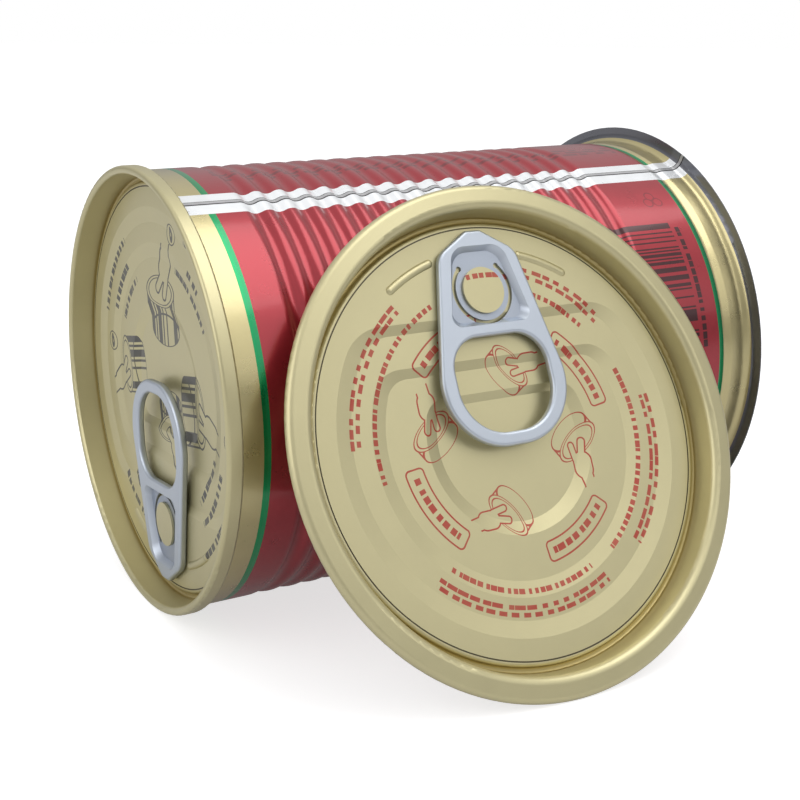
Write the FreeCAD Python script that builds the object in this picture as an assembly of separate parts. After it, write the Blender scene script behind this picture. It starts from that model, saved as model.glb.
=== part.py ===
"""An empty three-piece food can lying on its side, with its second easy-open end leaning on it.

The can is a beaded tinplate cylinder with a welded side seam. One easy-open end is double
seamed on; the other end of the cylinder is open and ends in a flange. The second easy-open
end is loose: it stands on its curl in front of the can and leans back on the beads.

All sizes are in millimetres. The can's axis runs along +X, from the seamed end to the
flange, +Z is up, and the loose end leans on the -Y side. The origin is the centre of the
bottom of the whole's bounding box.
"""
import FreeCAD
import Part
import math
import os
from FreeCAD import Vector

# ---- driving dimensions -------------------------------------------------------------
# can body
BODY_RADIUS = 41.9           # outside of the plain cylinder
BODY_SHEET = 0.20
BODY_LENGTH = 116.4          # from the top of the double seam to the flange's rim
FLANGE_RADIUS = 45.2
FLANGE_BEND = 2.0            # bend radius of the flange
NECK_DEPTH = 0.35            # shallow groove just before the flange
NECK_WIDTH = 3.2
NECK_OFFSET = 6.4            # groove centre back from the flange's rim
WELD_WIDTH = 0.9             # overlap of the side seam, round the circumference
WELD_SWELL = 0.12            # how much thicker the welded overlap is
WELD_ANGLE = 26.0            # from the top of the lying can towards the front, degrees

# circumferential beads
BEAD_PITCH = 4.61
BEAD_DEPTH = 0.70
BEAD_START = 16.2            # centre of the first bead, from the top of the double seam
BEAD_MARGIN = 25.0           # least distance from the last bead to the flange's rim

# double seam
END_SHEET = 0.23
SEAM_HEIGHT = 3.0
COMPOUND_FILM = 0.12         # sealing compound between the folded layers
HOOK_TIP_GAP = 0.45          # free length beyond each hook
SEAM_CORNER = 0.60           # bend radius of the seam's top

# easy-open end
CHUCK_TAPER = 0.55           # how much the chuck wall narrows down to the countersink
COUNTERSINK_DEPTH = 5.75     # from the seam's top to the sheet's middle in the groove
COUNTERSINK_WIDTH = 1.30
COUNTERSINK_BEND = 0.55
PANEL_DEPTH = 4.75           # outside face of the panel below the seam's top
PANEL_BEND = 0.45
SCORE_MARGIN = 0.90          # score line in from the countersink's inner wall
SCORE_WIDTH = 0.22
SCORE_DEPTH = 0.11

# loose end's free curl
CURL_RADIUS = 45.8
CURL_HEIGHT = 2.20
CURL_DROP = 0.45             # the seaming panel falls this much towards the curl
CURL_LIP = 0.95              # how far the curl's edge turns back in
CURL_BEND = 0.45
CURL_SHOULDER = 1.05         # bend radius from seaming panel to curl

# stepped terraces of the panel: radius, chord and corner of each D-shaped step
TERRACES = (
    {"radius": 35.0, "chord": 22.6, "corner": 9.0, "band": 3.0, "drop": 0.50},
    {"radius": 28.1, "chord": 14.8, "corner": 6.5, "band": 2.9, "drop": 0.50},
    {"radius": 17.3, "chord": 8.8, "corner": 4.5, "band": 2.5, "drop": 0.70},
)

CHORD_BAND_SHARE = 0.6       # the sloping band is narrower along the chord

# short raised beads either side of the tab's nose
ARC_BEAD_RADIUS = 34.3
ARC_BEAD_FROM = 16.5         # degrees from the tab's axis
ARC_BEAD_TO = 33.0
ARC_BEAD_TUBE = 0.95         # radius of the bead's round back
ARC_BEAD_HEIGHT = 0.42

# ring-pull tab
TAB_NOSE = 38.0              # nose and tail, from the end's centre along the tab's axis
TAB_TAIL = -1.6
TAB_SIDE = 15.86             # where the tapering sides meet the tail line
TAB_SHOULDER = (8.3, 33.9)
TAB_NOSE_HALF = 1.6
TAB_TAIL_BEND = 11.5
TAB_SHOULDER_BEND = 4.0
TAB_NOSE_BEND = 1.0
TAB_HEIGHT = 1.60            # height of the curled border
TAB_EDGE = 0.62              # rounding of the curled border
TAB_SHEET = 0.40
TAB_SEAT = 0.08              # clearance below the tab
FINGER_HOLE = (9.96, 18.4, 0.95)     # half width, upper edge, lower edge
FINGER_HOLE_BENDS = (6.0, 8.5)
BOWL_TOP = (4.6, 34.2)       # half width and place of the bowl's upper edge
BOWL_BOTTOM = (7.9, 21.3)
BOWL_BENDS = (3.4, 1.9)
BOWL_SLOPE = 0.9             # how much wider the bowl is at its rim

# rivet and the slotted island round it
RIVET_PLACE = 26.9           # along the tab's axis from the end's centre
RIVET_SHANK = 2.40
RIVET_HEAD = 4.30
RIVET_ROOT = 3.6             # where the rivet's sheet runs into the panel
RIVET_CLEARANCE = 0.08
RIVET_BEND = 0.30
ISLAND_RADIUS = 5.55
SLOT_WIDTH = 0.75
SLOT_HALF_BRIDGE = 43.0      # degrees either side of the nose that stay uncut

# how the pieces lie
SEAMED_TAB_TURN = 5.0        # the seamed end's tab points down, this far to the front
LEAN = 24.8                  # the loose end leans back from the vertical, degrees
LOOSE_END_PLACE = 52.6       # loose end's centre along the can, from the seam's top
LOOSE_TAB_TURN = 1.0         # the loose end's tab points up, this far to the seam side
TOUCH_GAP = 0.25             # left between the loose end and the can's beads
FLAT_DEPTH = 0.12            # flat spots under the seam and the flange

# ---- sizes that follow from them ----------------------------------------------------
BEAD_COUNT = 1 + int((BODY_LENGTH - BEAD_START - BEAD_MARGIN) / BEAD_PITCH)
BODY_MIDDLE = BODY_RADIUS - BODY_SHEET / 2
LAYER = END_SHEET / 2 + COMPOUND_FILM + BODY_SHEET / 2
CHUCK_MIDDLE = BODY_MIDDLE - LAYER
END_HOOK_MIDDLE = BODY_MIDDLE + LAYER
BODY_HOOK_MIDDLE = END_HOOK_MIDDLE + LAYER
SEAM_WALL_MIDDLE = BODY_HOOK_MIDDLE + LAYER
SEAM_RADIUS = SEAM_WALL_MIDDLE + END_SHEET / 2
SEAM_TOP_MIDDLE = END_SHEET / 2
BODY_TOP_MIDDLE = END_SHEET + COMPOUND_FILM + BODY_SHEET / 2
SEAM_FOOT_MIDDLE = SEAM_HEIGHT - END_SHEET / 2
HOOK_BEND = LAYER
PANEL_MIDDLE = PANEL_DEPTH + END_SHEET / 2
GROOVE_OUTER = CHUCK_MIDDLE - CHUCK_TAPER
GROOVE_INNER = GROOVE_OUTER - COUNTERSINK_WIDTH
SCORE_RADIUS = GROOVE_INNER - SCORE_MARGIN
CAN_TILT = math.atan2(FLANGE_RADIUS - SEAM_RADIUS, BODY_LENGTH - SEAM_HEIGHT / 2)
LOOSE_END_SWING = -math.asin(math.tan(math.radians(LEAN)) * math.tan(CAN_TILT))
AXIS_X = Vector(1, 0, 0)
CENTRE = Vector(0, 0, 0)
TINY = 1e-6


# ---- sections of bent sheet ---------------------------------------------------------
def sheet_side(corners, shift):
    """Lines and arcs of one face of a sheet, off its middle line by shift to the left."""
    points = [Vector(x, 0, r) for x, r, bend in corners]
    runs = [(b - a).normalize() for a, b in zip(points, points[1:])]
    normals = [Vector(-run.z, 0, run.x) for run in runs]
    edges = []
    start = points[0] + normals[0] * shift
    for i in range(1, len(points) - 1):
        before, after = runs[i - 1], runs[i]
        turn = math.atan2(before.x * after.z - before.z * after.x, before.dot(after))
        corner = points[i] + (normals[i - 1] + normals[i]) * (shift / (1 + before.dot(after)))
        radius = corners[i][2] - math.copysign(shift, shift * turn)
        reach = radius * math.tan(abs(turn) / 2)
        enter = corner - before * reach
        leave = corner + after * reach
        inward = (after - before).normalize()
        middle = corner + inward * (radius / math.cos(turn / 2) - radius)
        if (enter - start).Length > TINY:
            edges.append(Part.LineSegment(start, enter).toShape())
        edges.append(Part.Arc(enter, middle, leave).toShape())
        start = leave
    end = points[-1] + normals[-1] * shift
    if (end - start).Length > TINY:
        edges.append(Part.LineSegment(start, end).toShape())
    return edges


def sheet_section(corners, thickness):
    """Face of a sheet of that thickness, bent along the corners (x, radius, bend radius)."""
    left = sheet_side(corners, thickness / 2)
    right = sheet_side(corners, -thickness / 2)
    first = Part.LineSegment(right[0].Vertexes[0].Point, left[0].Vertexes[0].Point)
    last = Part.LineSegment(left[-1].Vertexes[-1].Point, right[-1].Vertexes[-1].Point)
    edges = left + right + [first.toShape(), last.toShape()]
    return Part.Face(Part.Wire(Part.sortEdges(edges)[0]))


def spun(corners, thickness, start=0.0, sweep=360.0):
    """Sheet section revolved about the can's axis, from start degrees off the top."""
    face = sheet_section(corners, thickness)
    face.rotate(CENTRE, AXIS_X, start)
    return face.revolve(CENTRE, AXIS_X, sweep)


# ---- outlines across the axis -------------------------------------------------------
def rounded_outline(corners, depth):
    """Closed wire across the axis through the corners (sideways, up, bend radius)."""
    points = [Vector(depth, u, v) for u, v, bend in corners]
    count = len(points)
    edges = []
    arcs = []
    for i in range(count):
        before = (points[i] - points[i - 1]).normalize()
        after = (points[(i + 1) % count] - points[i]).normalize()
        half_turn = math.acos(max(-1.0, min(1.0, before.dot(after)))) / 2
        radius = corners[i][2]
        reach = radius * math.tan(half_turn)
        inward = (after - before).normalize()
        middle = points[i] + inward * (radius / math.cos(half_turn) - radius)
        arcs.append((points[i] - before * reach, middle, points[i] + after * reach))
    for i, (enter, middle, leave) in enumerate(arcs):
        edges.append(Part.Arc(enter, middle, leave).toShape())
        follow = arcs[(i + 1) % count][0]
        if (follow - leave).Length > TINY:
            edges.append(Part.LineSegment(leave, follow).toShape())
    return Part.Wire(edges)


def mirrored(corners):
    """The corners of one side followed by their mirror images, as a closed outline."""
    return corners + [(-u, v, bend) for u, v, bend in reversed(corners)]


def chord_outline(radius, chord, corner, depth):
    """D-shaped wire: a circle cut off above by a chord, with rounded corners."""
    v = chord - corner
    u = math.sqrt((radius - corner) ** 2 - v ** 2)
    grow = radius / (radius - corner)
    on_circle = Vector(depth, u * grow, v * grow)
    on_chord = Vector(depth, u, chord)
    middle = Vector(0, u, v).normalize() + Vector(0, 0, 1)
    middle = Vector(depth, u, v) + middle.normalize() * corner
    flip = FreeCAD.Matrix(1, 0, 0, 0, 0, -1, 0, 0, 0, 0, 1, 0, 0, 0, 0, 1)
    left_circle, left_chord, left_middle = (flip.multVec(p) for p in (on_circle, on_chord, middle))
    edges = [
        Part.Arc(on_circle, Vector(depth, 0, -radius), left_circle).toShape(),
        Part.Arc(left_circle, left_middle, left_chord).toShape(),
        Part.LineSegment(left_chord, on_chord).toShape(),
        Part.Arc(on_chord, middle, on_circle).toShape(),
    ]
    return Part.Wire(edges)


def pressed_step(step, top, depth):
    """Solid tapering from the step's outer outline at top to its inner one at depth."""
    outer = chord_outline(step["radius"], step["chord"], step["corner"], top)
    band = step["band"]
    chord_band = band * CHORD_BAND_SHARE
    inner = chord_outline(step["radius"] - band, step["chord"] - chord_band,
                          step["corner"] - chord_band, depth)
    return Part.makeLoft([outer, inner], True, True)


# ---- can body -----------------------------------------------------------------------
def bead_corners():
    """Middle-line corners of the beads: tangent arcs of one radius, flush with the wall."""
    quarter = BEAD_PITCH / 4
    half = BEAD_DEPTH / 2
    radius = (quarter ** 2 + half ** 2) / (2 * half)
    slope = math.asin(quarter / radius)
    reach = quarter * math.tan(slope)
    level = BODY_MIDDLE - half
    lead = quarter + half / math.tan(slope)
    corners = [(BEAD_START - lead, BODY_MIDDLE, radius)]
    for i in range(BEAD_COUNT):
        centre = BEAD_START + i * BEAD_PITCH
        corners.append((centre, level - reach, radius))
        if i < BEAD_COUNT - 1:
            corners.append((centre + BEAD_PITCH / 2, level + reach, radius))
    end = BEAD_START + (BEAD_COUNT - 1) * BEAD_PITCH
    corners.append((end + lead, BODY_MIDDLE, radius))
    return corners


def body_corners():
    """Middle line of the body's sheet, from the tip of its seam hook to the flange."""
    tip = SEAM_FOOT_MIDDLE - END_SHEET / 2 - HOOK_TIP_GAP
    neck = BODY_LENGTH - NECK_OFFSET
    half = NECK_WIDTH / 2
    rim = BODY_LENGTH - BODY_SHEET / 2
    corners = [
        (tip, BODY_HOOK_MIDDLE, 0),
        (BODY_TOP_MIDDLE, BODY_HOOK_MIDDLE, HOOK_BEND),
        (BODY_TOP_MIDDLE, BODY_MIDDLE, HOOK_BEND),
    ]
    corners += bead_corners()
    corners += [
        (neck - half, BODY_MIDDLE, half),
        (neck, BODY_MIDDLE - NECK_DEPTH, half),
        (neck + half, BODY_MIDDLE, half),
        (rim, BODY_MIDDLE, FLANGE_BEND),
        (rim, FLANGE_RADIUS, 0),
    ]
    return corners


def can_body():
    """Beaded and flanged cylinder with the thicker overlap of its welded side seam."""
    corners = body_corners()
    weld_sweep = math.degrees(WELD_WIDTH / BODY_RADIUS)
    weld_start = WELD_ANGLE - weld_sweep / 2
    wall = spun(corners, BODY_SHEET, weld_start + weld_sweep, 360 - weld_sweep)
    weld = spun(corners, BODY_SHEET + WELD_SWELL, weld_start, weld_sweep)
    return wall.fuse(weld)


# ---- easy-open end ------------------------------------------------------------------
def seamed_rim():
    """Middle line of the seamed rim, from the tip of the end hook to the chuck wall."""
    tip = BODY_TOP_MIDDLE + BODY_SHEET / 2 + HOOK_TIP_GAP
    return [
        (tip, END_HOOK_MIDDLE, 0),
        (SEAM_FOOT_MIDDLE, END_HOOK_MIDDLE, HOOK_BEND),
        (SEAM_FOOT_MIDDLE, SEAM_WALL_MIDDLE, HOOK_BEND),
        (SEAM_TOP_MIDDLE, SEAM_WALL_MIDDLE, SEAM_CORNER),
        (SEAM_TOP_MIDDLE, CHUCK_MIDDLE, SEAM_CORNER),
    ]


def free_rim():
    """Middle line of the loose end's rim, from the edge of its curl to the chuck wall."""
    outside = CURL_RADIUS - END_SHEET / 2
    foot = CURL_HEIGHT - END_SHEET / 2
    return [
        (foot, outside - CURL_LIP, 0),
        (foot, outside, CURL_BEND),
        (SEAM_TOP_MIDDLE + CURL_DROP, outside, CURL_SHOULDER),
        (SEAM_TOP_MIDDLE, CHUCK_MIDDLE, SEAM_CORNER * 2),
    ]


def rivet():
    """Hollow button drawn up from the panel and staked flat over the tab."""
    under = PANEL_DEPTH - TAB_SEAT - TAB_SHEET - RIVET_CLEARANCE
    lower = under - END_SHEET / 2
    upper = lower - END_SHEET
    corners = [
        (PANEL_MIDDLE, RIVET_ROOT + END_SHEET, 0),
        (PANEL_MIDDLE, RIVET_SHANK, RIVET_BEND),
        (lower, RIVET_SHANK, RIVET_BEND),
        (lower, RIVET_HEAD - END_SHEET, 0),
    ]
    button = spun(corners, END_SHEET)
    cap_height = END_SHEET * 2
    cap = Part.makeCylinder(RIVET_HEAD, END_SHEET, Vector(upper - END_SHEET / 2, 0, 0), AXIS_X)
    skirt = Part.makeCylinder(RIVET_HEAD, cap_height, Vector(upper - END_SHEET / 2, 0, 0), AXIS_X)
    inside = Part.makeCylinder(RIVET_HEAD - END_SHEET, cap_height, Vector(upper, 0, 0), AXIS_X)
    return button.fuse([cap, skirt.cut(inside)])


def arc_bead(side, tube):
    """Torus stretch with round ends, lying along the panel beside the tab's nose."""
    spine = Vector(PANEL_DEPTH - ARC_BEAD_HEIGHT + ARC_BEAD_TUBE, 0, ARC_BEAD_RADIUS)
    sweep = ARC_BEAD_TO - ARC_BEAD_FROM
    start = ARC_BEAD_FROM if side > 0 else -ARC_BEAD_TO
    circle = Part.Wire(Part.makeCircle(tube, spine, Vector(0, 1, 0)))
    ring = Part.Face(circle)
    ring.rotate(CENTRE, AXIS_X, start)
    stretch = ring.revolve(CENTRE, AXIS_X, sweep)
    low, high = spine - AXIS_X * tube, spine + AXIS_X * tube
    arc = Part.Arc(low, spine + Vector(0, 0, tube), high).toShape()
    half_disc = Part.Face(Part.Wire([arc, Part.LineSegment(high, low).toShape()]))
    ends = []
    for angle, turn in ((start, -180), (start + sweep, 180)):
        end = half_disc.revolve(spine, AXIS_X, turn)
        end.rotate(CENTRE, AXIS_X, angle)
        ends.append(end)
    return stretch.fuse(ends)


def easy_open_end(rim):
    """One pressed end: rim, chuck wall, countersink, scored panel, terraces and rivet."""
    corners = rim + [
        (COUNTERSINK_DEPTH, GROOVE_OUTER, COUNTERSINK_BEND),
        (COUNTERSINK_DEPTH, GROOVE_INNER, COUNTERSINK_BEND),
        (PANEL_MIDDLE, GROOVE_INNER, PANEL_BEND),
        (PANEL_MIDDLE, 0, 0),
    ]
    end = spun(corners, END_SHEET)
    top = PANEL_DEPTH
    for step in TERRACES:
        floor = top + step["drop"]
        press = pressed_step(step, top + END_SHEET / 2, floor + END_SHEET)
        punch = pressed_step(step, top, floor)
        end = end.fuse(press).cut(punch)
        top = floor
    above = Part.makeCylinder(SCORE_RADIUS, PANEL_DEPTH + END_SHEET / 2, CENTRE, AXIS_X)
    for side in (1, -1):
        back = arc_bead(side, ARC_BEAD_TUBE).common(above)
        end = end.fuse(back).cut(arc_bead(side, ARC_BEAD_TUBE - END_SHEET))
    rivet_hole = Part.makeCylinder(RIVET_ROOT, PANEL_DEPTH * 2, Vector(0, 0, RIVET_PLACE), AXIS_X)
    button = rivet()
    button.translate(Vector(0, 0, RIVET_PLACE))
    end = end.cut(rivet_hole).fuse(button)
    score = Part.makeCylinder(SCORE_RADIUS + SCORE_WIDTH, SCORE_DEPTH, Vector(PANEL_DEPTH, 0, 0), AXIS_X)
    score = score.cut(Part.makeCylinder(SCORE_RADIUS, SCORE_DEPTH, Vector(PANEL_DEPTH, 0, 0), AXIS_X))
    return end.cut(score)


# ---- ring-pull tab ------------------------------------------------------------------
def tab_outline(depth):
    """Outer outline of the tab: blunt nose, tapering sides and round tail."""
    return rounded_outline(mirrored([
        (TAB_NOSE_HALF, TAB_NOSE, TAB_NOSE_BEND),
        (TAB_SHOULDER[0], TAB_SHOULDER[1], TAB_SHOULDER_BEND),
        (TAB_SIDE, TAB_TAIL, TAB_TAIL_BEND),
    ]), depth)


def finger_hole_outline(depth):
    """Outline of the hole for the finger."""
    half, upper, lower = FINGER_HOLE
    return rounded_outline(mirrored([
        (half, upper, FINGER_HOLE_BENDS[0]),
        (half, lower, FINGER_HOLE_BENDS[1]),
    ]), depth)


def bowl_outline(depth, grow):
    """Outline of the sunk web round the rivet, grown outwards."""
    return rounded_outline(mirrored([
        (BOWL_TOP[0] + grow, BOWL_TOP[1] + grow, BOWL_BENDS[0]),
        (BOWL_BOTTOM[0] + grow, BOWL_BOTTOM[1] - grow, BOWL_BENDS[1]),
    ]), depth)


def island_slot(depth, height):
    """C-shaped slot that frees the island round the rivet, open towards the nose."""
    low = Vector(depth, 0, 0)
    inner = ISLAND_RADIUS
    outer = ISLAND_RADIUS + SLOT_WIDTH
    middle = (inner + outer) / 2
    section = Part.makePlane(SLOT_WIDTH, height, Vector(depth, 0, inner), Vector(0, 1, 0))
    centre = Vector(section.CenterOfMass)
    section.translate(Vector(depth + height / 2, 0, middle) - centre)
    section.rotate(CENTRE, AXIS_X, SLOT_HALF_BRIDGE)
    slot = section.revolve(CENTRE, AXIS_X, 360 - 2 * SLOT_HALF_BRIDGE)
    ends = []
    for angle in (SLOT_HALF_BRIDGE, -SLOT_HALF_BRIDGE):
        drill = Part.makeCylinder(SLOT_WIDTH * 0.7, height, low + Vector(0, 0, middle), AXIS_X)
        drill.rotate(CENTRE, AXIS_X, angle)
        ends.append(drill)
    slot = slot.fuse(ends)
    slot.translate(Vector(0, 0, RIVET_PLACE))
    return slot


def rounded_rims(solid, radius, sideways=math.inf, upper=math.inf):
    """The prism with its edges across the axis rounded, where they lie inside those limits."""
    rims = []
    for edge in solid.Edges:
        box = edge.BoundBox
        flat = box.XLength < TINY
        if flat and box.YMax <= sideways and -box.YMin <= sideways and box.ZMax <= upper:
            rims.append(edge)
    return solid.makeFillet(radius, rims)


def pull_tab():
    """Ring-pull tab with a curled border, a finger hole and a slotted island."""
    foot = PANEL_DEPTH - TAB_SEAT
    top = foot - TAB_HEIGHT
    rise = Vector(TAB_HEIGHT, 0, 0)
    slab = rounded_rims(Part.Face(tab_outline(top)).extrude(rise), TAB_EDGE)
    slab = slab.cut(Part.Face(finger_hole_outline(top)).extrude(rise))
    half, upper, lower = FINGER_HOLE
    slab = rounded_rims(slab, TAB_EDGE, half + TINY, upper + TINY)
    web_top = foot - TAB_SHEET
    bowl = Part.makeLoft([bowl_outline(top, BOWL_SLOPE), bowl_outline(web_top, 0)], True, True)
    hole = Part.makeCylinder(RIVET_SHANK + END_SHEET / 2 + RIVET_CLEARANCE, TAB_HEIGHT,
                             Vector(top, 0, RIVET_PLACE), AXIS_X)
    return slab.cut([bowl, hole, island_slot(top, TAB_HEIGHT)])


# ---- how the pieces lie -------------------------------------------------------------
def lay_can(shape):
    """Tip the can so that the seam and the wider flange both rest on the floor."""
    laid = shape.copy()
    laid.rotate(CENTRE, Vector(0, 1, 0), -math.degrees(CAN_TILT))
    lift = SEAM_RADIUS * math.cos(CAN_TILT) - SEAM_HEIGHT / 2 * math.sin(CAN_TILT)
    laid.translate(Vector(0, 0, lift - FLAT_DEPTH))
    return laid


def lean_end(shape):
    """Stand the loose end on its curl, leaning back until it lies along the can's side."""
    lean = math.radians(LEAN)
    leaning = shape.copy()
    leaning.rotate(CENTRE, AXIS_X, -LOOSE_TAB_TURN)
    leaning.rotate(CENTRE, Vector(0, 0, 1), 90)
    leaning.rotate(CENTRE, AXIS_X, -LEAN)
    leaning.rotate(CENTRE, Vector(0, 0, 1), math.degrees(LOOSE_END_SWING))
    back = COUNTERSINK_DEPTH + END_SHEET / 2
    rise = math.tan(CAN_TILT) * (LOOSE_END_PLACE - SEAM_HEIGHT / 2)
    axis_height = SEAM_RADIUS / math.cos(CAN_TILT) + rise - FLAT_DEPTH
    bend = CURL_BEND + END_SHEET / 2
    stand = bend - FLAT_DEPTH
    stand += (CURL_RADIUS - bend) * math.cos(lean) + (CURL_HEIGHT - bend) * math.sin(lean)
    reach = BODY_RADIUS + TOUCH_GAP + back
    front = (reach - (stand - axis_height) * math.sin(lean)) / math.cos(lean)
    front /= math.cos(LOOSE_END_SWING)
    leaning.translate(Vector(LOOSE_END_PLACE, -front, stand))
    return leaning


def cut_flat(shape):
    """Trim what would reach below the floor."""
    box = shape.BoundBox
    if box.ZMin >= 0:
        return shape
    below = Part.makeBox(box.XLength + 2, box.YLength + 2, 10,
                         Vector(box.XMin - 1, box.YMin - 1, -10))
    return shape.cut(below)


def turned_down(shape):
    """Turn an end about its axis until its tab's nose points down."""
    turned = shape.copy()
    turned.rotate(CENTRE, AXIS_X, 180 - SEAMED_TAB_TURN)
    return turned


def main():
    tab = pull_tab()
    pieces = {
        "can_body": lay_can(can_body()),
        "seamed_end": lay_can(turned_down(easy_open_end(seamed_rim()))),
        "seamed_end_tab": lay_can(turned_down(tab)),
        "loose_end": lean_end(easy_open_end(free_rim())),
        "loose_end_tab": lean_end(tab),
    }
    pieces = {name: cut_flat(shape) for name, shape in pieces.items()}
    bounds = FreeCAD.BoundBox()
    for shape in pieces.values():
        bounds.add(shape.optimalBoundingBox(False))
    shift = Vector(-bounds.Center.x, -bounds.Center.y, -bounds.ZMin)
    os.makedirs("parts", exist_ok=True)
    for name, shape in pieces.items():
        shape.translate(shift)
        shape.exportStep(f"parts/{name}.step")
        print(name, shape.ShapeType, len(shape.Solids), shape.isValid(), round(shape.Volume, 1))
    print("shift", shift, "size", bounds.XLength, bounds.YLength, bounds.ZLength)


main()
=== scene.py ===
"""Looks of an opened ring-pull food can: printed wall, lacquered ends, steel tabs and stage."""
import math
from collections import namedtuple

import bpy
from mathutils import Euler, Matrix, Vector


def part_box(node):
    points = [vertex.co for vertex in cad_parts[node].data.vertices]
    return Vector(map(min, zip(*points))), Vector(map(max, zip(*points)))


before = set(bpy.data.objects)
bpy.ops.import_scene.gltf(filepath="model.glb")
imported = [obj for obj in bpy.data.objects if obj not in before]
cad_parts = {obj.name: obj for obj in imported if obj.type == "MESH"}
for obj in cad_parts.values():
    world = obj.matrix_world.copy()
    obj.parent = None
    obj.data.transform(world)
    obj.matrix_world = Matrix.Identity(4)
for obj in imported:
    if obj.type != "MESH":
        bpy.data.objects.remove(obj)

bl_info = {
    "name": "Food Can Finishes",
    "version": (1, 0, 0),
    "blender": (4, 5, 0),
    "location": "View3D > Sidebar > Food Can",
    "description": "Printed wall, lacquered ends and steel tabs for an opened ring-pull can",
    "category": "Object",
}

MM = 0.001
DEG = math.pi / 180
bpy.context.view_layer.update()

# ---- form of the can, as built --------------------------------------------------------
SEAM_HEIGHT = 3.0 * MM
END_LEAN = 24.8 * DEG        # how far the loose end leans back from upright
SEAMED_TAB_TURN = 5.0 * DEG
LOOSE_TAB_TURN = 1.0 * DEG

# In millimetres, as all sizes inside the materials are.
WALL_RADIUS = 41.9
FLANGE_START = 42.9          # distance from the can's axis where the bare flange starts
WELD_ANGLE = 26.0            # degrees from the can's top round to its side seam
SCORE_RADIUS = 38.72
GROOVE_SHADE_TOP = -4.6            # height in the end, from its rim, where the painted shade of the groove starts


def turned_box(node, turn):
    """Lowest and highest corners of a CAD node, in a frame turned by that matrix."""
    back = turn.inverted()
    points = [back @ vertex.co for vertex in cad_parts[node].data.vertices]
    low = Vector([min(point[i] for point in points) for i in range(3)])
    high = Vector([max(point[i] for point in points) for i in range(3)])
    return low, high


def can_tilt():
    """Angle by which the axis rises from the narrower seam to the wider flange."""
    seam_low, seam_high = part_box("seamed_end")
    wall_low, wall_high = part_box("can_body")
    rise = (wall_high.y - wall_low.y - seam_high.y + seam_low.y) / 2
    return math.atan2(rise, wall_high.x - wall_low.x - SEAM_HEIGHT / 2)


def can_origin():
    """Centre of the double seam's top, where lengths along the can start."""
    low, high = turned_box("seamed_end", CAN_TURN)
    middle = (low + high) / 2
    return CAN_TURN @ Vector((low.x, middle.y, high.z - (high.y - low.y) / 2))


def loose_origin():
    """Centre of the loose end at the height of its rim."""
    low, high = turned_box("loose_end", LOOSE_LEAN)
    middle = (low + high) / 2
    return LOOSE_LEAN @ Vector((middle.x, high.y - (high.x - low.x) / 2, high.z))


CAN_TILT = can_tilt()
CAN_TURN = Euler((0, -CAN_TILT, 0)).to_matrix()
CAN_ORIGIN = can_origin()

END_ON_CAN = Matrix(((0, 0, -1), (-1, 0, 0), (0, 1, 0)))    # the end's top faces off the can
SEAMED_TURN = CAN_TURN @ END_ON_CAN
SEAMED_TURN = SEAMED_TURN @ Matrix.Rotation(math.pi + SEAMED_TAB_TURN, 3, "Z")

END_SWING = -math.asin(math.tan(END_LEAN) * math.tan(CAN_TILT))
LOOSE_LEAN = Matrix.Rotation(END_SWING, 3, "Z") @ Matrix.Rotation(math.pi / 2 - END_LEAN, 3, "X")
LOOSE_ORIGIN = loose_origin()
LOOSE_TURN = LOOSE_LEAN @ Matrix.Rotation(-LOOSE_TAB_TURN, 3, "Z")


# ---- sizes and colours that a user would change ---------------------------------------
def colour_property(name, description, default):
    """Colour of a coat of lacquer or ink, as linear red, green and blue."""
    return bpy.props.FloatVectorProperty(
        name=name, description=description, default=default, subtype="COLOR", min=0, max=1)


class FoodCanPrint(bpy.types.PropertyGroup):
    """Inks and lacquers of the can, and the widths of its rings and bare stripe."""

    red: colour_property("Red", "Ink of the wide printed field", (0.38, 0.026, 0.038))
    green: colour_property("Green", "Ink of the two thin rings", (0.0, 0.31, 0.10))
    gold: colour_property("Gold", "Lacquer of the wall's two ends", (0.57, 0.495, 0.25))
    tin: colour_property("Tin", "Bare tinplate along the side seam", (0.92, 0.94, 0.96))
    steel: colour_property("Steel", "Bare steel of the flange", (0.17, 0.175, 0.20))
    end_gold: colour_property("End gold", "Lacquer of both ends", (0.60, 0.545, 0.315))
    end_ink: colour_property("Seamed end ink", "Print of the seamed end", (0.05, 0.05, 0.05))
    loose_ink: colour_property("Loose end ink", "Print of the loose end", (0.43, 0.035, 0.02))
    ring_width: bpy.props.FloatProperty(
        name="Ring width", description="Width of the green rings in millimetres",
        default=1.35, min=0.2, max=5)
    stripe_width: bpy.props.FloatProperty(
        name="Stripe width", description="Bare stripe along the side seam, in millimetres",
        default=6.1, min=1, max=20)


class FoodCanStage(bpy.types.PropertyGroup):
    """Where the camera stands and how bright the studio is."""

    azimuth: bpy.props.FloatProperty(
        name="Azimuth", description="Turn of the view from straight ahead",
        default=-28.24 * DEG, subtype="ANGLE")
    elevation: bpy.props.FloatProperty(
        name="Elevation", description="How far the camera looks down",
        default=12.25 * DEG, subtype="ANGLE")
    roll: bpy.props.FloatProperty(
        name="Roll", description="Turn about the line of sight", default=0.615 * DEG,
        subtype="ANGLE")
    eye: bpy.props.FloatVectorProperty(
        name="Eye", description="Place of the camera", default=(-0.1418, -0.2192, 0.1088),
        subtype="TRANSLATION", unit="LENGTH")
    lens: bpy.props.FloatProperty(
        name="Lens", description="Focal length in millimetres", default=59.6, min=10)
    shift: bpy.props.FloatVectorProperty(
        name="Shift", description="Framing shift of the lens", default=(0.0898, -0.0909), size=2)
    lamp_power: bpy.props.FloatProperty(
        name="Lamp power", description="Power of the main lamp", default=4.5, unit="POWER")
    sky: bpy.props.FloatProperty(
        name="Sky", description="Strength of the studio's even light", default=0.8)


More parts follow.
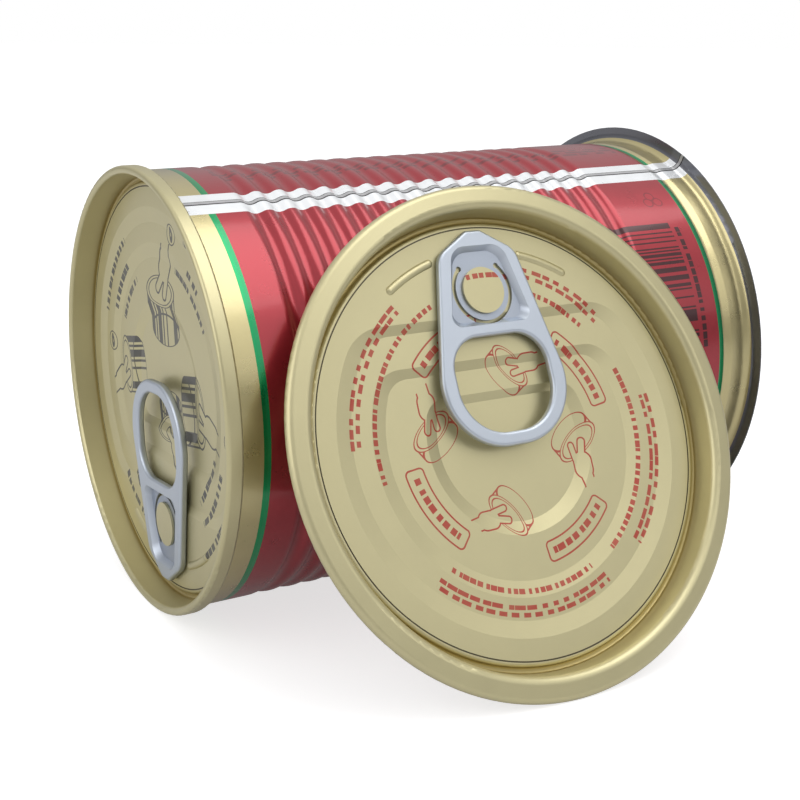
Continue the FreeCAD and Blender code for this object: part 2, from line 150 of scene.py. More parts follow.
# ---- building node trees --------------------------------------------------------------
class Tree:
    """A node tree being filled in, with short calls for the nodes used most."""

    def __init__(self, tree):
        self.tree = tree

    def add(self, kind, **settings):
        node = self.tree.nodes.new(kind)
        for name, value in settings.items():
            setattr(node, name, value)
        return node

    def put(self, socket, value):
        """Link a socket to another one, or give it a plain value."""
        if isinstance(value, bpy.types.NodeSocket):
            self.tree.links.new(value, socket)
        else:
            socket.default_value = value

    def math(self, operation, *values):
        node = self.add("ShaderNodeMath", operation=operation)
        for socket, value in zip(node.inputs, values):
            self.put(socket, value)
        return node.outputs[0]

    def every(self, *masks):
        """One where all the masks are one."""
        result = masks[0]
        for mask in masks[1:]:
            result = self.math("MULTIPLY", result, mask)
        return result

    def any(self, *masks):
        """One where at least one of the masks is one."""
        result = masks[0]
        for mask in masks[1:]:
            result = self.math("MAXIMUM", result, mask)
        return result

    def between(self, value, low, high):
        """One where the value is between low and high."""
        above = self.math("GREATER_THAN", value, low)
        return self.every(above, self.math("LESS_THAN", value, high))

    def spread(self, value, start, end, low=0.0, high=1.0):
        """Low up to where the value is at start, high from where it is at end."""
        node = self.add("ShaderNodeMapRange")
        for name, number in (("Value", value), ("From Min", start), ("From Max", end),
                             ("To Min", low), ("To Max", high)):
            self.put(node.inputs[name], number)
        return node.outputs[0]

    def blend(self, mask, low, high):
        """Low where the mask is nothing, high where it is one."""
        return self.spread(mask, 0.0, 1.0, low, high)

    def mix(self, mask, below, above):
        """Colour below where the mask is nothing, and the one above where it is one."""
        node = self.add("ShaderNodeMix", data_type="RGBA")
        self.put(node.inputs["Factor"], mask)
        for name, colour in (("A", below), ("B", above)):
            socket = next(s for s in node.inputs if s.name == name and s.type == "RGBA")
            self.put(socket, colour if isinstance(colour, bpy.types.NodeSocket) else (*colour, 1))
        return next(s for s in node.outputs if s.type == "RGBA")

    def shaded(self, colour, factor):
        """Colour made darker or lighter by a factor."""
        node = self.add("ShaderNodeVectorMath", operation="SCALE")
        self.put(node.inputs[0], colour)
        self.put(node.inputs["Scale"], factor)
        return node.outputs[0]

    def vector(self, x, y, z):
        node = self.add("ShaderNodeCombineXYZ")
        for socket, value in zip(node.inputs, (x, y, z)):
            self.put(socket, value)
        return node.outputs[0]

    def axes(self, vector):
        node = self.add("ShaderNodeSeparateXYZ")
        self.put(node.inputs[0], vector)
        return node.outputs

    def dot(self, x, y, other_x, other_y):
        across = self.math("MULTIPLY", x, other_x)
        return self.math("ADD", across, self.math("MULTIPLY", y, other_y))

    def length(self, x, y):
        return self.math("SQRT", self.dot(x, y, x, y))

    def random(self, x, y, z):
        """Fixed random value of a cell."""
        node = self.add("ShaderNodeTexWhiteNoise", noise_dimensions="3D")
        self.put(node.inputs["Vector"], self.vector(x, y, z))
        return node.outputs["Value"]

    def noise(self, vector, scale, detail, rough):
        node = self.add("ShaderNodeTexNoise")
        for name, value in (("Vector", vector), ("Scale", scale), ("Detail", detail),
                            ("Roughness", rough)):
            self.put(node.inputs[name], value)
        return node.outputs["Fac"]

    def mapped(self, vector, place, turn, scale):
        """The vector as seen from that place, turned and scaled axes."""
        node = self.add("ShaderNodeMapping", vector_type="TEXTURE")
        for name, value in (("Vector", vector), ("Location", place), ("Rotation", turn),
                            ("Scale", (scale, scale, scale))):
            self.put(node.inputs[name], value)
        return node.outputs[0]

    def group(self, group, **values):
        """Outputs of a placed group, whose inputs are named with _ for a space."""
        node = self.add("ShaderNodeGroup", node_tree=group)
        for name, value in values.items():
            self.put(node.inputs[name.replace("_", " ")], value)
        return node.outputs


def new_group(name, inputs, outputs):
    """Node group with those named values, or a Vector, going in and out: the group, its
    tree, what comes in and what goes out."""
    group = bpy.data.node_groups.new(name, "ShaderNodeTree")
    for labels, way in ((inputs, "INPUT"), (outputs, "OUTPUT")):
        for label in labels:
            kind = "NodeSocketVector" if label == "Vector" else "NodeSocketFloat"
            group.interface.new_socket(name=label, in_out=way, socket_type=kind)
    tree = Tree(group)
    return group, tree, tree.add("NodeGroupInput").outputs, tree.add("NodeGroupOutput").inputs


def shared_group(name, build):
    """The node group of that name, built the first time that it is asked for."""
    return bpy.data.node_groups.get(name) or build(name)


# ---- shared effects -------------------------------------------------------------------
DASH_BODY = (0.18, 0.82)     # where a row's ink starts and ends, in shares of its height
DASH_PITCH = 0.95            # in shares of the height of all the rows
DASH_STAGGER = 0.41          # shift from row to row, in pitches
DASH_LENGTH = (0.42, 0.97)   # shortest and longest, in pitches


def dash_rows(name):
    """Stacked rows of short dashes of changing length, along a line."""
    inputs = ("Along", "Across", "From", "To", "Height", "Seed", "Rows")
    group, tree, given, result = new_group(name, inputs, ("Ink",))
    rise = tree.math("ADD", tree.math("DIVIDE", given["Across"], given["Height"]), 0.5)
    rows = tree.math("MULTIPLY", rise, given["Rows"])
    row = tree.math("FLOOR", rows)
    thick = tree.between(tree.math("FRACT", rows), *DASH_BODY)
    place = tree.math("DIVIDE", given["Along"], tree.math("MULTIPLY", given["Height"], DASH_PITCH))
    place = tree.math("ADD", place, tree.math("MULTIPLY", row, DASH_STAGGER))
    cell = tree.math("FLOOR", place)
    share = tree.blend(tree.random(cell, row, given["Seed"]), *DASH_LENGTH)
    dash = tree.math("LESS_THAN", tree.math("FRACT", place), share)
    tree.put(result["Ink"], tree.every(
        dash, thick, tree.between(rise, 0.0, 1.0),
        tree.between(given["Along"], given["From"], given["To"])))
    return group


def ink_ring(name):
    """Thin line round a circle or ellipse."""
    inputs = ("Across", "Up", "Centre Across", "Centre Up", "Radius", "Squash", "Line")
    group, tree, given, result = new_group(name, inputs, ("Ink",))
    x = tree.math("SUBTRACT", given["Across"], given["Centre Across"])
    y = tree.math("SUBTRACT", given["Up"], given["Centre Up"])
    distance = tree.length(x, tree.math("DIVIDE", y, given["Squash"]))
    half = tree.math("MULTIPLY", given["Line"], 0.5)
    tree.put(result["Ink"], tree.math("COMPARE", distance, given["Radius"], half))
    return group


def finger_shape(name):
    """Distance to the outline of a long rounded shape, less than nothing inside it."""
    inputs = ("Across", "Up", "From Across", "From Up", "Run Across", "Run Up", "Radius")
    group, tree, given, result = new_group(name, inputs, ("Distance",))
    x = tree.math("SUBTRACT", given["Across"], given["From Across"])
    y = tree.math("SUBTRACT", given["Up"], given["From Up"])
    run = (given["Run Across"], given["Run Up"])
    clamp = tree.add("ShaderNodeClamp")
    share = tree.math("DIVIDE", tree.dot(x, y, *run), tree.dot(*run, *run))
    tree.put(clamp.inputs["Value"], share)
    off = [tree.math("SUBTRACT", value, tree.math("MULTIPLY", side, clamp.outputs[0]))
           for value, side in zip((x, y), run)]
    distance = tree.math("SUBTRACT", tree.length(*off), given["Radius"])
    tree.put(result["Distance"], distance)
    return group


# The hand's palm, fingers and forearm: start, run and radius.
HAND = (
    ((1.9, 3.0), (0.9, 1.3), 1.75),
    ((1.2, 2.2), (-1.9, -1.7), 0.7),
    ((2.6, 1.9), (-1.1, -2.3), 0.65),
    ((3.0, 4.8), (2.0, 4.0), 1.25),
)
ARM_END = 6.6                # height at which the forearm's outline is cut off
SKETCH_LINE = 0.3
RIM_SIZE = 4.9
RIM_STEP = 0.8               # from the rim's outer ring to its inner one
RIM_SQUASH = 0.44            # height of the rim in shares of its width
HATCH_PITCH = 0.42
HATCH_GAPS = 0.45            # share of the hatching left blank
HATCH_SEED = (5.0, 1.0)


def can_sketch(name):
    """Line sketch of a can's rim and side, and of a hand that reaches over it."""
    group, tree, given, result = new_group(name, ("Across", "Up", "Side", "Hatch"), ("Ink",))
    x, y = given["Across"], given["Up"]
    ring = shared_group("Ink Ring", ink_ring)
    finger = shared_group("Finger Shape", finger_shape)
    rims = [
        tree.group(ring, Across=x, Up=y, Centre_Across=0.0, Centre_Up=0.0, Radius=radius,
                   Squash=RIM_SQUASH, Line=SKETCH_LINE)["Ink"]
        for radius in (RIM_SIZE, RIM_SIZE - RIM_STEP)
    ]
    rim = tree.length(x, tree.math("DIVIDE", y, RIM_SQUASH))
    lowered = tree.math("ADD", y, given["Side"])
    foot = tree.length(x, tree.math("DIVIDE", lowered, RIM_SQUASH))
    inside = tree.any(tree.math("LESS_THAN", foot, RIM_SIZE),
                      tree.math("GREATER_THAN", lowered, 0.0))
    side = tree.every(tree.math("COMPARE", x, 0.0, RIM_SIZE), tree.math("LESS_THAN", y, 0.0),
                      tree.math("GREATER_THAN", rim, RIM_SIZE), inside)
    edge = tree.any(tree.math("COMPARE", tree.math("ABSOLUTE", x), RIM_SIZE, SKETCH_LINE),
                    tree.math("COMPARE", foot, RIM_SIZE, SKETCH_LINE))
    column = tree.math("FLOOR", tree.math("DIVIDE", x, HATCH_PITCH))
    drawn = tree.math("GREATER_THAN", tree.random(column, *HATCH_SEED), HATCH_GAPS)
    hatch = tree.every(drawn, given["Hatch"])
    can = tree.any(*rims, tree.every(side, tree.any(hatch, edge)))
    parts = [
        tree.group(finger, Across=x, Up=y, From_Across=from_x, From_Up=from_y,
                   Run_Across=run_x, Run_Up=run_y, Radius=radius)["Distance"]
        for (from_x, from_y), (run_x, run_y), radius in HAND
    ]
    hand = parts[0]
    for part in parts[1:]:
        hand = tree.math("MINIMUM", hand, part)
    outline = tree.every(tree.math("COMPARE", hand, 0.0, SKETCH_LINE / 2),
                         tree.math("LESS_THAN", y, ARM_END))
    behind = tree.math("GREATER_THAN", hand, 0.0)
    tree.put(result["Ink"], tree.any(tree.every(can, behind), outline))
    return group


# Noises of the sheet: scale for each millimetre, detail and roughness.
ROLLED_GRAIN = (5.5, 4.0, 0.62)
ORANGE_PEEL = (1.3, 2.0, 0.5)
MOTTLING = (0.16, 4.0, 0.6)
MOTTLE_SPAN = (0.3, 0.7)     # values of that noise between which the mottling runs
GRAIN_STRETCH = 0.12         # the grain's scale along the sheet, in shares of that across
GRAIN_SHARE = 0.35           # height of the grain in shares of the orange peel's
GRAIN_HEIGHT = 0.010         # millimetres


def tinplate_grain(name):
    """Fine rolling grain and faint mottling of coated sheet steel."""
    group, tree, given, result = new_group(name, ("Vector", "Strength"), ("Height", "Mottle"))
    x, y, z = tree.axes(given["Vector"])
    stretched = tree.vector(tree.math("MULTIPLY", x, GRAIN_STRETCH), y, z)
    grain = tree.noise(stretched, *ROLLED_GRAIN)
    orange_peel = tree.noise(given["Vector"], *ORANGE_PEEL)
    height = tree.math("ADD", tree.math("MULTIPLY", grain, GRAIN_SHARE), orange_peel)
    tree.put(result["Height"], tree.math("MULTIPLY", height, given["Strength"]))
    mottle = tree.noise(given["Vector"], *MOTTLING)
    tree.put(result["Mottle"], tree.spread(mottle, *MOTTLE_SPAN))
    return group


def new_material(name):
    """Material with a bare Principled shader: the material, its tree, the shader's sockets."""
    material = bpy.data.materials.new(name)
    material.use_nodes = True
    shader = material.node_tree.nodes["Principled BSDF"]
    return material, Tree(material.node_tree), shader.inputs


def coated_sheet(name, origin, turn, strength):
    """Material with the grain of coated sheet: the material, its tree, the shader's sockets,
    millimetres from that origin along the turned axes, and the mottling."""
    material, tree, shader = new_material(name)
    source = tree.add("ShaderNodeTexCoord").outputs["Object"]
    vector = tree.mapped(source, origin, turn.to_euler(), MM)
    grain = tree.group(shared_group("Tinplate Grain", tinplate_grain),
                       Vector=vector, Strength=strength)
    bump = tree.add("ShaderNodeBump")
    tree.put(bump.inputs["Height"], grain["Height"])
    tree.put(bump.inputs["Distance"], GRAIN_HEIGHT * MM)
    tree.put(shader["Normal"], bump.outputs[0])
    return material, tree, shader, vector, grain["Mottle"]


def coat(node, material):
    """Give a CAD node that material in place of the ones it had."""
    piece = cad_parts[node]
    piece.data.materials.clear()
    piece.data.materials.append(material)


# ---- printed wall ---------------------------------------------------------------------
# Places are millimetres along the can from its double seam, and round it from the weld.
PRINT_SKEW = 0.175           # drift of the print along the can for each radian round it
NEAR_RING = 8.07
FAR_RING = 109.39
STRIPE_MIDDLE = 0.2
WELD_HALF = 0.50
WELD_EDGE = 0.45             # from the middle of the weld to the dark line at its edge
WELD_EDGE_HALF = 0.11
WELD_STEEL = (0.46, 0.46, 0.47)
WELD_SHADOW = (0.035, 0.033, 0.035)
DARK_INK = (0.035, 0.012, 0.014)

BARS = (81.5, 103.6, 15.0, 41.0)     # printed bars: from, to along the can, from, to round it
BAR_PITCH = 0.34
BAR_GAPS = 0.46              # share of the bars left out
BAR_SEED = (2.0, 8.0)
FIGURES_PLACE = 105.1        # along the can
FIGURES = {"From": 16.5, "To": 42.0, "Height": 1.7, "Seed": 4.0, "Rows": 1.0}
HEADING_PLACE = -11.5        # round the can
HEADING = {"From": 13.0, "To": 106.5, "Height": 4.6, "Seed": 6.0, "Rows": 3.0}
EMBLEM = ((101.8, 9.9), (104.2, 9.9), (103.0, 8.2))  # middles of its rings, along and round
EMBLEM_RING = {"Radius": 1.05, "Squash": 1.0, "Line": 0.3}
FAINT_INK = 0.5
WALL_INK_COVER = 0.92

INSIDE_LACQUER = (0.60, 0.56, 0.40)
INWARD = -0.25               # a normal that leans in further than this is inside the can
WALL_GRAIN = 1.2             # strength of the grain, as for the ends and tabs
WALL_SHADE = (0.96, 1.03)    # darkest and lightest of the mottling
WALL_ROUGHNESS = (0.26, 0.34)
GOLD_METAL = 0.85            # how metallic the gold and the red print are
RED_METAL = 0.62
STRIPE_DULLING = 0.35        # taken off that on the bare stripe
WALL_COAT = 0.6
WALL_COAT_ROUGHNESS = 0.12


def wall_ink(tree, along, round_can):
    """Dark print on the red field: bars, rows of marks and a small emblem of rings."""
    row = shared_group("Dash Rows", dash_rows)
    ring = shared_group("Ink Ring", ink_ring)
    low, high, start, end = BARS
    bar = tree.math("FLOOR", tree.math("DIVIDE", round_can, BAR_PITCH))
    bars = tree.every(tree.math("GREATER_THAN", tree.random(bar, *BAR_SEED), BAR_GAPS),
                      tree.between(along, low, high), tree.between(round_can, start, end))
    figures = tree.group(row, Along=round_can, **FIGURES,
                         Across=tree.math("SUBTRACT", along, FIGURES_PLACE))["Ink"]
    heading = tree.group(row, Along=along, **HEADING,
                         Across=tree.math("SUBTRACT", round_can, HEADING_PLACE))["Ink"]
    rings = [tree.group(ring, Across=along, Up=round_can, Centre_Across=place,
                        Centre_Up=up, **EMBLEM_RING)["Ink"] for place, up in EMBLEM]
    faint = tree.math("MULTIPLY", tree.any(heading, *rings), FAINT_INK)
    return tree.math("MULTIPLY", tree.any(bars, figures, faint), WALL_INK_COVER)


def wall_print(tree, place, radius, look):
    """Colour of the wall's outside, and the masks of the bare stripe and of the red field."""
    x, y, z = place
    angle = tree.math("ARCTAN2", tree.math("MULTIPLY", y, -1.0), z)
    from_weld = tree.math("SUBTRACT", angle, WELD_ANGLE * DEG)
    from_weld = tree.math("WRAP", from_weld, math.pi, -math.pi)
    round_can = tree.math("MULTIPLY", from_weld, WALL_RADIUS)
    side = tree.math("MULTIPLY", tree.math("SIGN", from_weld), math.pi)
    skew = tree.math("MULTIPLY", tree.math("SUBTRACT", from_weld, side), PRINT_SKEW)
    along = tree.math("SUBTRACT", x, skew)
    red_field = tree.between(along, NEAR_RING, FAR_RING)
    rings = tree.any(*[tree.math("COMPARE", along, ring, look.ring_width / 2)
                       for ring in (NEAR_RING, FAR_RING)])
    stripe = tree.math("COMPARE", round_can, STRIPE_MIDDLE, look.stripe_width / 2)
    flange = tree.math("GREATER_THAN", radius, FLANGE_START)
    weld = tree.math("COMPARE", round_can, 0.0, WELD_HALF)
    weld_edges = tree.any(*[tree.math("COMPARE", round_can, edge, WELD_EDGE_HALF)
                            for edge in (WELD_EDGE, -WELD_EDGE)])
    colour = tree.mix(red_field, look.gold, look.red)
    for mask, layer in ((wall_ink(tree, along, round_can), DARK_INK), (rings, look.green),
                        (stripe, look.tin), (flange, look.steel), (weld, WELD_STEEL),
                        (weld_edges, WELD_SHADOW)):
        colour = tree.mix(mask, colour, layer)
    return colour, stripe, red_field


def printed_wall(look):
    """Red and gold print on tinplate outside, pale lacquer inside, bare seam and flange."""
    material, tree, shader, vector, mottle = coated_sheet(
        "printed tinplate", CAN_ORIGIN, CAN_TURN, WALL_GRAIN)
    x, y, z = tree.axes(vector)
    radius = tree.length(y, z)
    colour, stripe, red_field = wall_print(tree, (x, y, z), radius, look)
    facing = tree.add("ShaderNodeVectorMath", operation="DOT_PRODUCT")
    tree.put(facing.inputs[0], tree.add("ShaderNodeNewGeometry").outputs["Normal"])
    tree.put(facing.inputs[1], tree.vector(0.0, y, z))
    outward = tree.math("DIVIDE", facing.outputs["Value"], radius)
    inside = tree.every(tree.math("LESS_THAN", outward, INWARD),
                        tree.math("LESS_THAN", radius, FLANGE_START))
    shaded = tree.shaded(colour, tree.blend(mottle, *WALL_SHADE))
    tree.put(shader["Base Color"], tree.mix(inside, shaded, INSIDE_LACQUER))
    metal = tree.blend(red_field, GOLD_METAL, RED_METAL)
    dulling = tree.math("MULTIPLY", stripe, STRIPE_DULLING)
    tree.put(shader["Metallic"], tree.math("SUBTRACT", metal, dulling))
    tree.put(shader["Roughness"], tree.blend(mottle, *WALL_ROUGHNESS))
    tree.put(shader["Coat Weight"], WALL_COAT)
    tree.put(shader["Coat Roughness"], WALL_COAT_ROUGHNESS)
    return material


# ---- lacquered ends -------------------------------------------------------------------
# Places on an end are millimetres across and up from its centre, or the distance from it
# and degrees round it from the tab's nose.
DOUBLE_ROW = 2.2             # a line of dashes that is higher than this has two rows
ARC_MARGIN = 10.0            # degrees ahead of an arc's start at which its angles wrap
LABEL_HALF_TURN = 21.5
LABEL_INNER = 19.4
LABEL_OUTER = 23.0
LABEL_CORNER = 0.8
LABEL_LINE = 0.16            # half the width of its line
CIRCLE_INKS = ((1.95, 0.26, 1.0), (0.45, 0.5, 2.2))  # outline and middle: radius, line, squash

# Lines of dashes: distance from the centre, from and to in degrees, and height.
LOOSE_ROWS = (
    (31.0, 14.0, 50.0, 2.5), (27.4, 15.0, 46.0, 1.5), (29.6, -9.0, 10.0, 1.5),
    (31.2, 81.0, 134.0, 2.5), (27.6, 67.0, 143.0, 1.5),
    (30.4, 152.0, 222.0, 2.5), (27.0, 155.0, 220.0, 1.5),
    (31.4, 272.0, 322.0, 2.5), (27.5, 259.0, 334.0, 1.5),
    (21.2, 39.0, 76.0, 1.9), (21.2, 131.0, 169.0, 1.9),
    (21.2, 222.0, 257.0, 1.9), (21.2, 312.0, 348.0, 1.9),
)
SEAMED_ROWS = (
    (32.0, 113.0, 150.0, 2.0), (27.4, 119.0, 147.0, 2.0), (23.3, 120.0, 150.0, 2.0),
    (33.2, 209.0, 231.0, 2.0), (28.6, 215.0, 226.0, 2.0), (25.2, 202.0, 239.0, 2.0),
    (34.2, 288.0, 328.0, 2.0), (29.2, 294.0, 321.0, 2.0), (25.2, 293.0, 320.0, 2.0),
    (31.4, 26.0, 48.0, 2.0), (27.0, 22.0, 42.0, 2.0), (21.6, 42.0, 58.0, 2.0),
)
# Can sketches: across, up, turn in degrees, size, mirrored, height of the side, hatched.
LOOSE_SKETCHES = (
    (-15.8, 2.9, 36.0, 1.0, False, 2.6, False), (14.4, -2.3, -144.0, 1.0, False, 2.6, False),
    (-3.4, -13.4, 128.0, 0.95, False, 2.6, False), (2.6, 12.9, -52.0, 0.95, False, 2.6, False),
)
SEAMED_SKETCHES = (
    (-0.8, -18.7, 180.0, 1.45, False, 5.2, True), (20.8, -1.9, -84.0, 1.2, True, 5.6, True),
    (-16.6, 2.4, 96.0, 1.35, False, 5.2, True), (-1.0, 8.0, 6.0, 1.2, True, 4.0, True),
)
LOOSE_LABELS = (57.5, 150.0, 239.5, 330.0)           # middles, in degrees
SEAMED_CIRCLES = ((-9.8, -30.0), (27.7, -6.1), (-31.0, 5.4))

PRINT_EDGE = SCORE_RADIUS - 1
SCORE_LINE = (SCORE_RADIUS + 0.11, 0.13)             # radius and half width of its dark line
SCORE_COLOUR = (0.10, 0.085, 0.05)
GROOVE_SHADE_FADE = 0.6            # depth over which the painted shade in the groove deepens
# Painted shade of the countersink groove: its dark brown colour and how much of it covers the
# groove.
GROOVE_SHADE_COLOUR = (0.40, 0.30, 0.085)
GROOVE_SHADE_COVER = 0.75
END_GRAIN = 1.0
END_SHADE = (0.98, 1.02)
END_ROUGHNESS = (0.38, 0.41)
END_INK_COVER = (0.86, 0.98)
END_METAL = 0.72             # how metallic the lacquer and the print are
END_INK_METAL = 0.2
END_COAT = 0.30
END_COAT_ROUGHNESS = 0.22


# A point of an end, measured in every way that its print needs.
EndPoint = namedtuple("EndPoint", "vector x y height radius degrees")


def end_point(tree, vector):
    """The point in millimetres and degrees, its height counted from the end's rim."""
    x, y, z = tree.axes(vector)
    degrees = tree.math("DIVIDE", tree.math("ARCTAN2", x, y), DEG)
    return EndPoint(vector, x, y, z, tree.length(x, y), degrees)


def arc_rows(tree, point, rows):
    """Lines of dashes bent round the centre."""
    row = shared_group("Dash Rows", dash_rows)
    inks = []
    for number, (distance, start, end, height) in enumerate(rows):
        degree = distance * DEG
        turned = tree.math("WRAP", point.degrees, start + 360 - ARC_MARGIN, start - ARC_MARGIN)
        inks.append(tree.group(
            row, Along=tree.math("MULTIPLY", turned, degree),
            Across=tree.math("SUBTRACT", point.radius, distance), From=start * degree,
            To=end * degree, Height=height, Seed=float(number),
            Rows=2.0 if height > DOUBLE_ROW else 1.0)["Ink"])
    return tree.any(*inks)


def sketches(tree, point, places):
    """Can sketches over the panel."""
    sketch = shared_group("Can Sketch", can_sketch)
    inks = []
    for across, up, turn, size, mirrored, side, hatched in places:
        turned = tree.mapped(point.vector, (across, up, 0), (0, 0, turn * DEG), size)
        x, y, _ = tree.axes(turned)
        if mirrored:
            x = tree.math("MULTIPLY", x, -1.0)
        inks.append(tree.group(sketch, Across=x, Up=y, Side=side, Hatch=float(hatched))["Ink"])
    return tree.any(*inks)


def curved_label(tree, point, middle):
    """Outline of a rounded box bent round the centre, with its middle at those degrees."""
    distance = (LABEL_INNER + LABEL_OUTER) / 2
    turned = tree.math("WRAP", tree.math("SUBTRACT", point.degrees, middle), 180.0, -180.0)
    around = tree.math("MULTIPLY", turned, distance * DEG)
    outwards = tree.math("SUBTRACT", point.radius, distance)
    beyond = []
    for value, half in ((around, LABEL_HALF_TURN * distance * DEG),
                        (outwards, (LABEL_OUTER - LABEL_INNER) / 2)):
        value = tree.math("SUBTRACT", tree.math("ABSOLUTE", value), half - LABEL_CORNER)
        beyond.append(tree.math("MAXIMUM", value, 0.0))
    return tree.math("COMPARE", tree.length(*beyond), LABEL_CORNER, LABEL_LINE)


def circles(tree, point, places):
    """Small printed circles, each with a stroke in the middle."""
    ring = shared_group("Ink Ring", ink_ring)
    return tree.any(*[
        tree.group(ring, Across=point.x, Up=point.y, Centre_Across=across, Centre_Up=up,
                   Radius=radius, Squash=squash, Line=line)["Ink"]
        for across, up in places for radius, line, squash in CIRCLE_INKS])


def loose_print(tree, point):
    """Line print of the loose end."""
    labels = [curved_label(tree, point, middle) for middle in LOOSE_LABELS]
    return tree.any(arc_rows(tree, point, LOOSE_ROWS), sketches(tree, point, LOOSE_SKETCHES),
                    *labels)


def seamed_print(tree, point):
    """Line print of the seamed end."""
    return tree.any(arc_rows(tree, point, SEAMED_ROWS), sketches(tree, point, SEAMED_SKETCHES),
                    circles(tree, point, SEAMED_CIRCLES))


def lacquered_end(name, origin, turn, gold, ink, pattern):
    """Gold lacquer with a line print on the panel, a dark scored line round it, and painted shade
    in the countersink groove.
    """
    material, tree, shader, vector, mottle = coated_sheet(name, origin, turn, END_GRAIN)
    point = end_point(tree, vector)
    printed = tree.every(pattern(tree, point), tree.math("LESS_THAN", point.radius, PRINT_EDGE),
                         tree.blend(mottle, *END_INK_COVER))
    # Painted shade: the bottom of the countersink groove is painted darker brown, deepening with
    # depth.
    groove_shade = tree.every(tree.spread(point.height, GROOVE_SHADE_TOP, GROOVE_SHADE_TOP - GROOVE_SHADE_FADE),
                        tree.math("GREATER_THAN", point.radius, SCORE_RADIUS))
    score = tree.math("COMPARE", point.radius, *SCORE_LINE)
    colour = tree.shaded(gold, tree.blend(mottle, *END_SHADE))
    colour = tree.mix(tree.math("MULTIPLY", groove_shade, GROOVE_SHADE_COVER), colour, GROOVE_SHADE_COLOUR)
    colour = tree.mix(printed, colour, ink)
    tree.put(shader["Base Color"], tree.mix(score, colour, SCORE_COLOUR))
    tree.put(shader["Metallic"], tree.blend(printed, END_METAL, END_INK_METAL))
    tree.put(shader["Roughness"], tree.blend(mottle, *END_ROUGHNESS))
    tree.put(shader["Coat Weight"], END_COAT)
    tree.put(shader["Coat Roughness"], END_COAT_ROUGHNESS)
    return material


# ---- steel tabs -----------------------------------------------------------------------
TAB_HIGHLIGHT_HEIGHTS = (-4.5, -3.2)   # from the plain steel up to the painted highlight, from the end's rim
TAB_STEEL = (0.38, 0.42, 0.49)
# Painted highlight: colour of the tab's raised border, lighter than the steel below it.
TAB_HIGHLIGHT = (0.56, 0.61, 0.68)
TAB_GRAIN = 1.4
TAB_ROUGHNESS = (0.38, 0.44)
TAB_METAL = (0.90, 0.86)     # how metallic the plain and the highlighted steel are


def tab_steel(name, origin, turn):
    """Cool grey coated steel with a fine grain, painted lighter on its raised border as a painted
    highlight.
    """
    material, tree, shader, vector, mottle = coated_sheet(name, origin, turn, TAB_GRAIN)
    # Painted light: the steel is darker low down and lighter towards the raised border.
    raised = tree.spread(tree.axes(vector)["Z"], *TAB_HIGHLIGHT_HEIGHTS)
    tree.put(shader["Base Color"], tree.mix(raised, TAB_STEEL, TAB_HIGHLIGHT))
    tree.put(shader["Metallic"], tree.blend(raised, *TAB_METAL))
    tree.put(shader["Roughness"], tree.blend(mottle, *TAB_ROUGHNESS))
    return material


# ---- stage ----------------------------------------------------------------------------
WHITE = (1, 1, 1)
LAMP_AIM = (0, 0, 0.05)
# Lamps: name, place, size, and power in shares of the main lamp's.
LAMPS = (
    ("main lamp", (0.34, -0.24, 1.10), 0.85, 1.0),
    ("fill lamp", (-0.85, -0.10, 0.50), 0.80, 0.62),
    ("front lamp", (0.52, -0.95, 0.70), 0.85, 0.30),
)
SKY_LOW = (0.32, 0.32, 0.33)
SKY_RISE = 0.9               # share of the way up at which the sky is white
FLOOR_SIZE = 40
FLOOR_COLOUR = (0.56, 0.56, 0.57)
FLOOR_ROUGHNESS = 0.9
FLOOR_GLOW = 0.70            # to the camera
FLOOR_MIRRORED = 0.14        # in reflections and through glass


def add_lamp(name, place, size, power):
    """Soft square lamp at that place, turned to the can."""
    turn = (Vector(LAMP_AIM) - Vector(place)).to_track_quat("-Z", "Y").to_euler()
    bpy.ops.object.light_add(type="AREA", location=place, rotation=turn)
    lamp = bpy.context.object
    lamp.name = name
    lamp.data.size = size
    lamp.data.energy = power


def studio_sky(strength):
    """World that is white to the camera, and graded from floor to ceiling for the metal."""
    world = bpy.data.worlds.new("studio")
    bpy.context.scene.world = world
    world.use_nodes = True
    tree = Tree(world.node_tree)
    background = world.node_tree.nodes["Background"].inputs
    seen = tree.add("ShaderNodeLightPath").outputs["Is Camera Ray"]
    direction = tree.add("ShaderNodeTexCoord").outputs["Generated"]
    rise = tree.spread(tree.axes(direction)["Z"], 0.0, SKY_RISE)
    tree.put(background["Color"], tree.mix(seen, tree.mix(rise, SKY_LOW, WHITE), WHITE))
    tree.put(background["Strength"], tree.blend(seen, strength, 1.0))


def pale_floor():
    """Wide pale floor that keeps the can's shadow."""
    bpy.ops.mesh.primitive_plane_add(size=FLOOR_SIZE, location=(0, 0, 0))
    floor = bpy.context.object
    floor.name = "floor"
    material, tree, shader = new_material("pale floor")
    tree.put(shader["Base Color"], (*FLOOR_COLOUR, 1))
    tree.put(shader["Roughness"], FLOOR_ROUGHNESS)
    tree.put(shader["Emission Color"], (*WHITE, 1))
    ray = tree.add("ShaderNodeLightPath").outputs
    mirrored = tree.any(ray["Is Glossy Ray"], ray["Is Transmission Ray"])
    tree.put(shader["Emission Strength"], tree.any(
        tree.math("MULTIPLY", ray["Is Camera Ray"], FLOOR_GLOW),
        tree.math("MULTIPLY", mirrored, FLOOR_MIRRORED)))
    floor.data.materials.append(material)


# ---- operators ------------------------------------------------------------------------
class FOODCAN_OT_wall(bpy.types.Operator):
    """Print the wall and leave its side seam and flange bare"""

    bl_idname = "food_can.wall"
    bl_label = "Printed Wall"

    def execute(self, context):
        coat("can_body", printed_wall(context.scene.food_can_print))
        return {"FINISHED"}


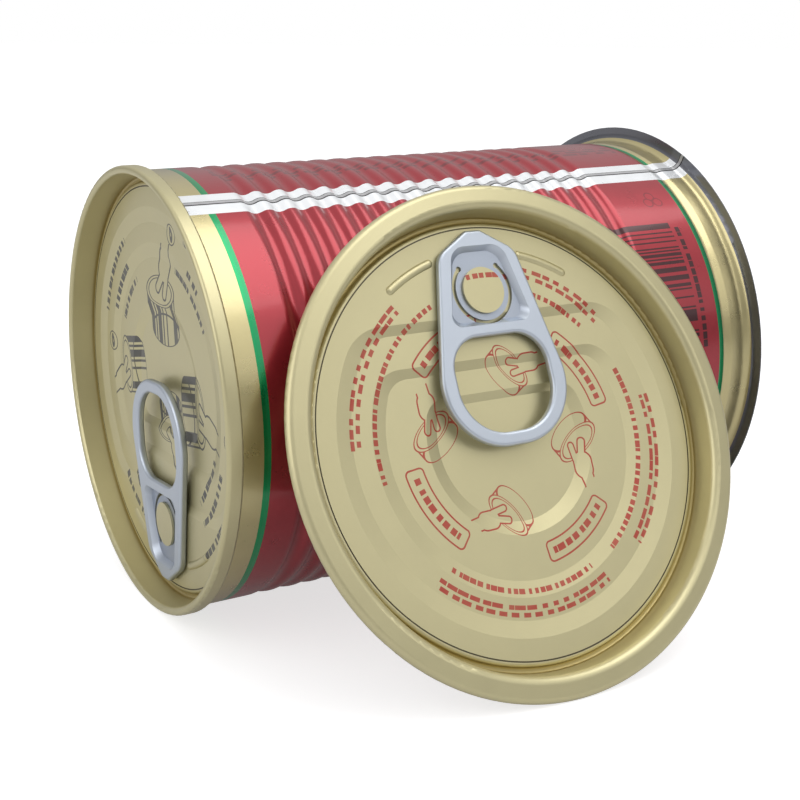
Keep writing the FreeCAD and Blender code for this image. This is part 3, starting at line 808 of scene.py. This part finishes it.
class FOODCAN_OT_ends(bpy.types.Operator):
    """Lacquer and print the seamed end and the loose end"""

    bl_idname = "food_can.ends"
    bl_label = "Lacquered Ends"

    def execute(self, context):
        look = context.scene.food_can_print
        seamed = lacquered_end("seamed end lacquer", CAN_ORIGIN, SEAMED_TURN,
                               look.end_gold, look.end_ink, seamed_print)
        loose = lacquered_end("loose end lacquer", LOOSE_ORIGIN, LOOSE_TURN,
                              look.end_gold, look.loose_ink, loose_print)
        coat("seamed_end", seamed)
        coat("loose_end", loose)
        return {"FINISHED"}


class FOODCAN_OT_tabs(bpy.types.Operator):
    """Finish both ring-pull tabs"""

    bl_idname = "food_can.tabs"
    bl_label = "Steel Tabs"

    def execute(self, context):
        coat("seamed_end_tab", tab_steel("seamed tab steel", CAN_ORIGIN, SEAMED_TURN))
        coat("loose_end_tab", tab_steel("loose tab steel", LOOSE_ORIGIN, LOOSE_TURN))
        return {"FINISHED"}


class FOODCAN_OT_stage(bpy.types.Operator):
    """Set the pale floor, the studio light and the camera"""

    bl_idname = "food_can.stage"
    bl_label = "Stage"

    def execute(self, context):
        stage = context.scene.food_can_stage
        pale_floor()
        studio_sky(stage.sky)
        for name, place, size, share in LAMPS:
            add_lamp(name, place, size, stage.lamp_power * share)
        turn = Matrix.Rotation(stage.azimuth, 3, "Z")
        turn = turn @ Matrix.Rotation(math.pi / 2 - stage.elevation, 3, "X")
        turn = turn @ Matrix.Rotation(stage.roll, 3, "Z")
        bpy.ops.object.camera_add(location=stage.eye, rotation=turn.to_euler())
        camera = context.object
        camera.data.lens = stage.lens
        camera.data.shift_x, camera.data.shift_y = stage.shift
        context.scene.camera = camera
        context.scene.view_settings.view_transform = "Standard"
        return {"FINISHED"}


class FOODCAN_PT_panel(bpy.types.Panel):
    """Lists the can's pieces and its stage"""

    bl_idname = "FOODCAN_PT_panel"
    bl_label = "Food Can"
    bl_space_type = "VIEW_3D"
    bl_region_type = "UI"
    bl_category = "Food Can"

    def draw(self, context):
        for operator in OPERATORS:
            self.layout.operator(operator.bl_idname)


OPERATORS = (FOODCAN_OT_wall, FOODCAN_OT_ends, FOODCAN_OT_tabs, FOODCAN_OT_stage)
CLASSES = (FoodCanPrint, FoodCanStage, *OPERATORS, FOODCAN_PT_panel)


def register():
    for item in CLASSES:
        bpy.utils.register_class(item)
    bpy.types.Scene.food_can_print = bpy.props.PointerProperty(type=FoodCanPrint)
    bpy.types.Scene.food_can_stage = bpy.props.PointerProperty(type=FoodCanStage)


def unregister():
    del bpy.types.Scene.food_can_stage
    del bpy.types.Scene.food_can_print
    for item in reversed(CLASSES):
        bpy.utils.unregister_class(item)


def main():
    register()
    bpy.ops.food_can.wall()
    bpy.ops.food_can.ends()
    bpy.ops.food_can.tabs()
    bpy.ops.food_can.stage()


if __name__ == "__main__":
    main()
